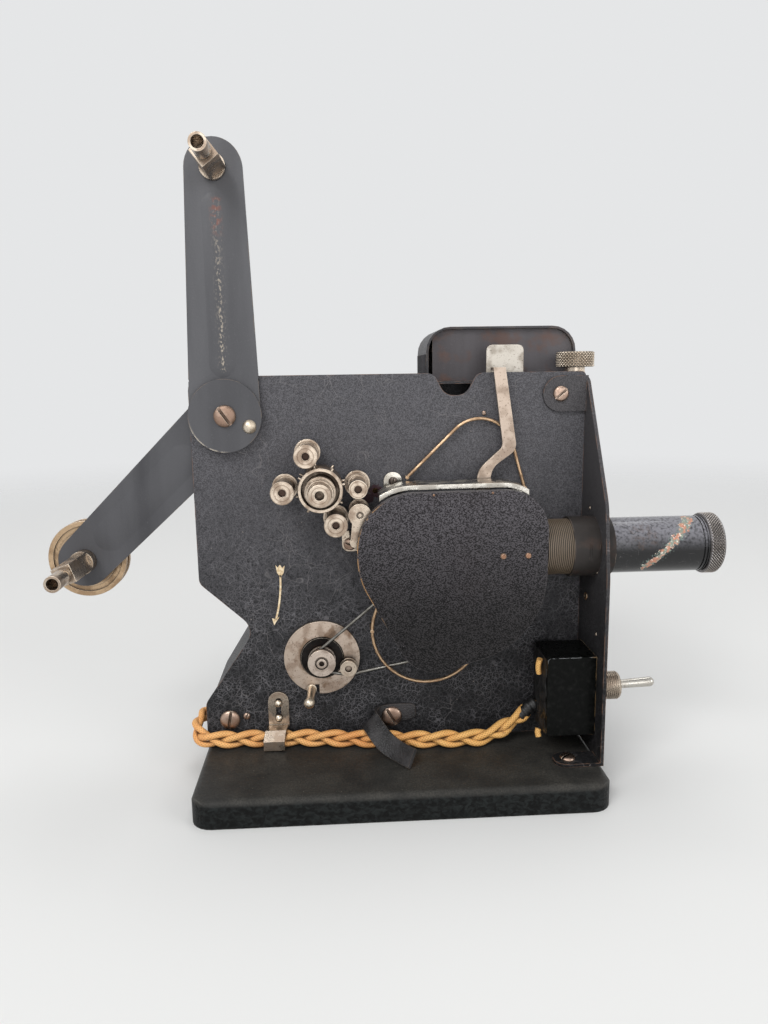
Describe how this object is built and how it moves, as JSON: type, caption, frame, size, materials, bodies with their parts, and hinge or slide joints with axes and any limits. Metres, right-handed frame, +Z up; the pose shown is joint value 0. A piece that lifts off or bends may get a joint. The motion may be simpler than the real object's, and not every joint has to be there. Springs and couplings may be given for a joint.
{
  "type": "film projector",
  "caption": "Tabletop film projector: upright plate on a base with folding reel arms, sprocket, film rollers, pear-shaped gate cover, lens, lamp house, switch and belt drive.",
  "frame": {"origin": "middle of the base's underside", "axes": "+X along the lens, out of the front; +Y from the film side to the lamp side; +Z up"},
  "size_m": [0.2934, 0.12, 0.2746],
  "materials": {
    "black_paint": "worn fine-grained enamel",
    "base_paint": "black painted board",
    "nickel": "aged nickel plate",
    "steel": "turned steel",
    "brass": "tarnished",
    "lacquer": "glossy black lacquer",
    "bakelite": "moulded",
    "cloth": "waxed cotton covering",
    "leather": "black hide",
    "rubber": "matte",
    "glass": "polished",
    "mirror": "polished"
  },
  "bodies": {
    "chassis": {"base": "base_paint", "main_plate": "black_paint", "front_plate": "black_paint", "rear_casing": "black_paint", "plate_screws": "nickel", "shaft_bushes": "brass", "fixed_studs": "steel", "cord_grommets": "rubber", "arm_pivot": "nickel", "guide_bracket": "nickel", "film_gate": "nickel", "beam_mirror": "mirror", "cover_posts": "steel", "guard_strip": "nickel", "loop_wires": "brass", "lens_sleeve": "black_paint", "switch_body": "bakelite", "switch_nut": "nickel", "plaited_lead": "cloth", "leather_strap": "leather", "motor": "black_paint", "drive_belt": "rubber", "lamp_house": "black_paint", "lamp_house_panels": "black_paint", "lamp_clip": "nickel", "lamp": "glass", "lamp_socket": "brass", "condenser": "glass"},
    "upper_arm": {"upper_arm": "black_paint", "arm_disc": "black_paint", "arm_stud": "brass"},
    "upper_spindle": {"upper_spindle": "nickel"},
    "lower_arm": {"lower_arm": "black_paint"},
    "lower_spindle": {"lower_spindle": "nickel", "takeup_pulley": "brass"},
    "sprocket": {"sprocket": "nickel", "sprocket_knob": "nickel", "sprocket_gear": "steel"},
    "intermediate_gear": {"intermediate_gear": "brass"},
    "main_shaft": {"main_shaft": "steel", "main_pulley": "black_paint", "shutter": "black_paint"},
    "motor_pulley": {"motor_pulley": "steel"},
    "roller_a": {"roller_a": "nickel"},
    "roller_b": {"roller_b": "nickel"},
    "roller_c": {"roller_c": "nickel"},
    "roller_d": {"roller_d": "nickel"},
    "guide_roller": {"guide_roller": "nickel"},
    "tension_ring": {"tension_ring": "nickel", "tension_handle": "nickel"},
    "tension_idler": {"tension_idler": "nickel"},
    "lens": {"lens_barrel": "lacquer", "lens_front_ring": "nickel", "lens_glass": "glass"},
    "switch_lever": {"switch_lever": "nickel"},
    "gate_cover": {"gate_cover": "black_paint", "cover_rivets": "brass"},
    "gate_lever": {"gate_lever": "nickel"},
    "cord_clip": {"cord_clip": "nickel"},
    "thumb_knob": {"thumb_knob": "brass"}
  },
  "joints": [
    {"name": "main_shaft_spin", "type": "hinge", "parent": "chassis", "child": "main_shaft", "pos_m": [0.0186, -0.015, 0.0749], "axis": [0, -1, 0], "continuous": true},
    {"name": "sprocket_spin", "type": "hinge", "parent": "chassis", "child": "sprocket", "pos_m": [-0.0313, -0.024, 0.1325], "axis": [0, -1, 0], "continuous": true},
    {"name": "intermediate_spin", "type": "hinge", "parent": "chassis", "child": "intermediate_gear", "pos_m": [-0.00452, -0.001, 0.10996], "axis": [0, -1, 0], "continuous": true},
    {"name": "motor_spin", "type": "hinge", "parent": "chassis", "child": "motor_pulley", "pos_m": [-0.0333, -0.015, 0.0528], "axis": [0, -1, 0], "continuous": true},
    {"name": "upper_arm_fold", "type": "hinge", "parent": "chassis", "child": "upper_arm", "pos_m": [-0.0714, -0.01, 0.1628], "axis": [0, -1, 0], "range_deg": [0, 115]},
    {"name": "upper_spindle_spin", "type": "hinge", "parent": "upper_arm", "child": "upper_spindle", "pos_m": [-0.0714, -0.019, 0.2628], "axis": [0, -1, 0], "continuous": true},
    {"name": "lower_arm_fold", "type": "hinge", "parent": "chassis", "child": "lower_arm", "pos_m": [-0.0714, -0.005, 0.1628], "axis": [0, -1, 0], "range_deg": [0, 35]},
    {"name": "lower_spindle_spin", "type": "hinge", "parent": "lower_arm", "child": "lower_spindle", "pos_m": [-0.13708, -0.019, 0.09982], "axis": [0, -1, 0], "continuous": true},
    {"name": "roller_a_spin", "type": "hinge", "parent": "chassis", "child": "roller_a", "pos_m": [-0.03685, -0.024, 0.14697], "axis": [0, -1, 0], "continuous": true},
    {"name": "roller_b_spin", "type": "hinge", "parent": "chassis", "child": "roller_b", "pos_m": [-0.0468, -0.024, 0.13223], "axis": [0, -1, 0], "continuous": true},
    {"name": "roller_c_spin", "type": "hinge", "parent": "chassis", "child": "roller_c", "pos_m": [-0.01581, -0.024, 0.13304], "axis": [0, -1, 0], "continuous": true},
    {"name": "roller_d_spin", "type": "hinge", "parent": "chassis", "child": "roller_d", "pos_m": [-0.02524, -0.024, 0.11823], "axis": [0, -1, 0], "continuous": true},
    {"name": "guide_roller_spin", "type": "hinge", "parent": "chassis", "child": "guide_roller", "pos_m": [-0.0152, -0.022, 0.1219], "axis": [0, -1, 0], "continuous": true},
    {"name": "tension_turn", "type": "hinge", "parent": "chassis", "child": "tension_ring", "pos_m": [-0.0333, -0.01, 0.0528], "axis": [0, -1, 0], "range_deg": [0, 25]},
    {"name": "idler_spin", "type": "hinge", "parent": "tension_ring", "child": "tension_idler", "pos_m": [-0.0214, -0.0155, 0.0494], "axis": [0, -1, 0], "continuous": true},
    {"name": "lens_focus", "type": "slide", "parent": "chassis", "child": "lens", "axis": [1, 0, 0], "range_m": [0, 0.01]},
    {"name": "switch_toggle", "type": "hinge", "parent": "chassis", "child": "switch_lever", "pos_m": [0.095, -0.0245, 0.0403], "axis": [0, 1, 0], "range_deg": [0, 20]},
    {"name": "cover_pull", "type": "slide", "parent": "chassis", "child": "gate_cover", "axis": [0, -1, 0], "range_m": [0, 0.035]},
    {"name": "gate_lever_turn", "type": "hinge", "parent": "chassis", "child": "gate_lever", "pos_m": [0.0394, -0.0136, 0.124], "axis": [0, -1, 0], "range_deg": [0, 8]},
    {"name": "clip_lift", "type": "slide", "parent": "chassis", "child": "cord_clip", "axis": [0, 0, 1], "range_m": [0, 0.001]},
    {"name": "thumb_knob_turn", "type": "hinge", "parent": "chassis", "child": "thumb_knob", "pos_m": [0.0829, -0.0008, 0.182], "axis": [0, 0, 1], "continuous": true}
  ],
  "couplings": [
    {"joint": "main_shaft_spin", "follows": "motor_spin", "ratio": 0.22222},
    {"joint": "intermediate_spin", "follows": "motor_spin", "ratio": -0.037037},
    {"joint": "sprocket_spin", "follows": "motor_spin", "ratio": 0.027778}
  ]
}
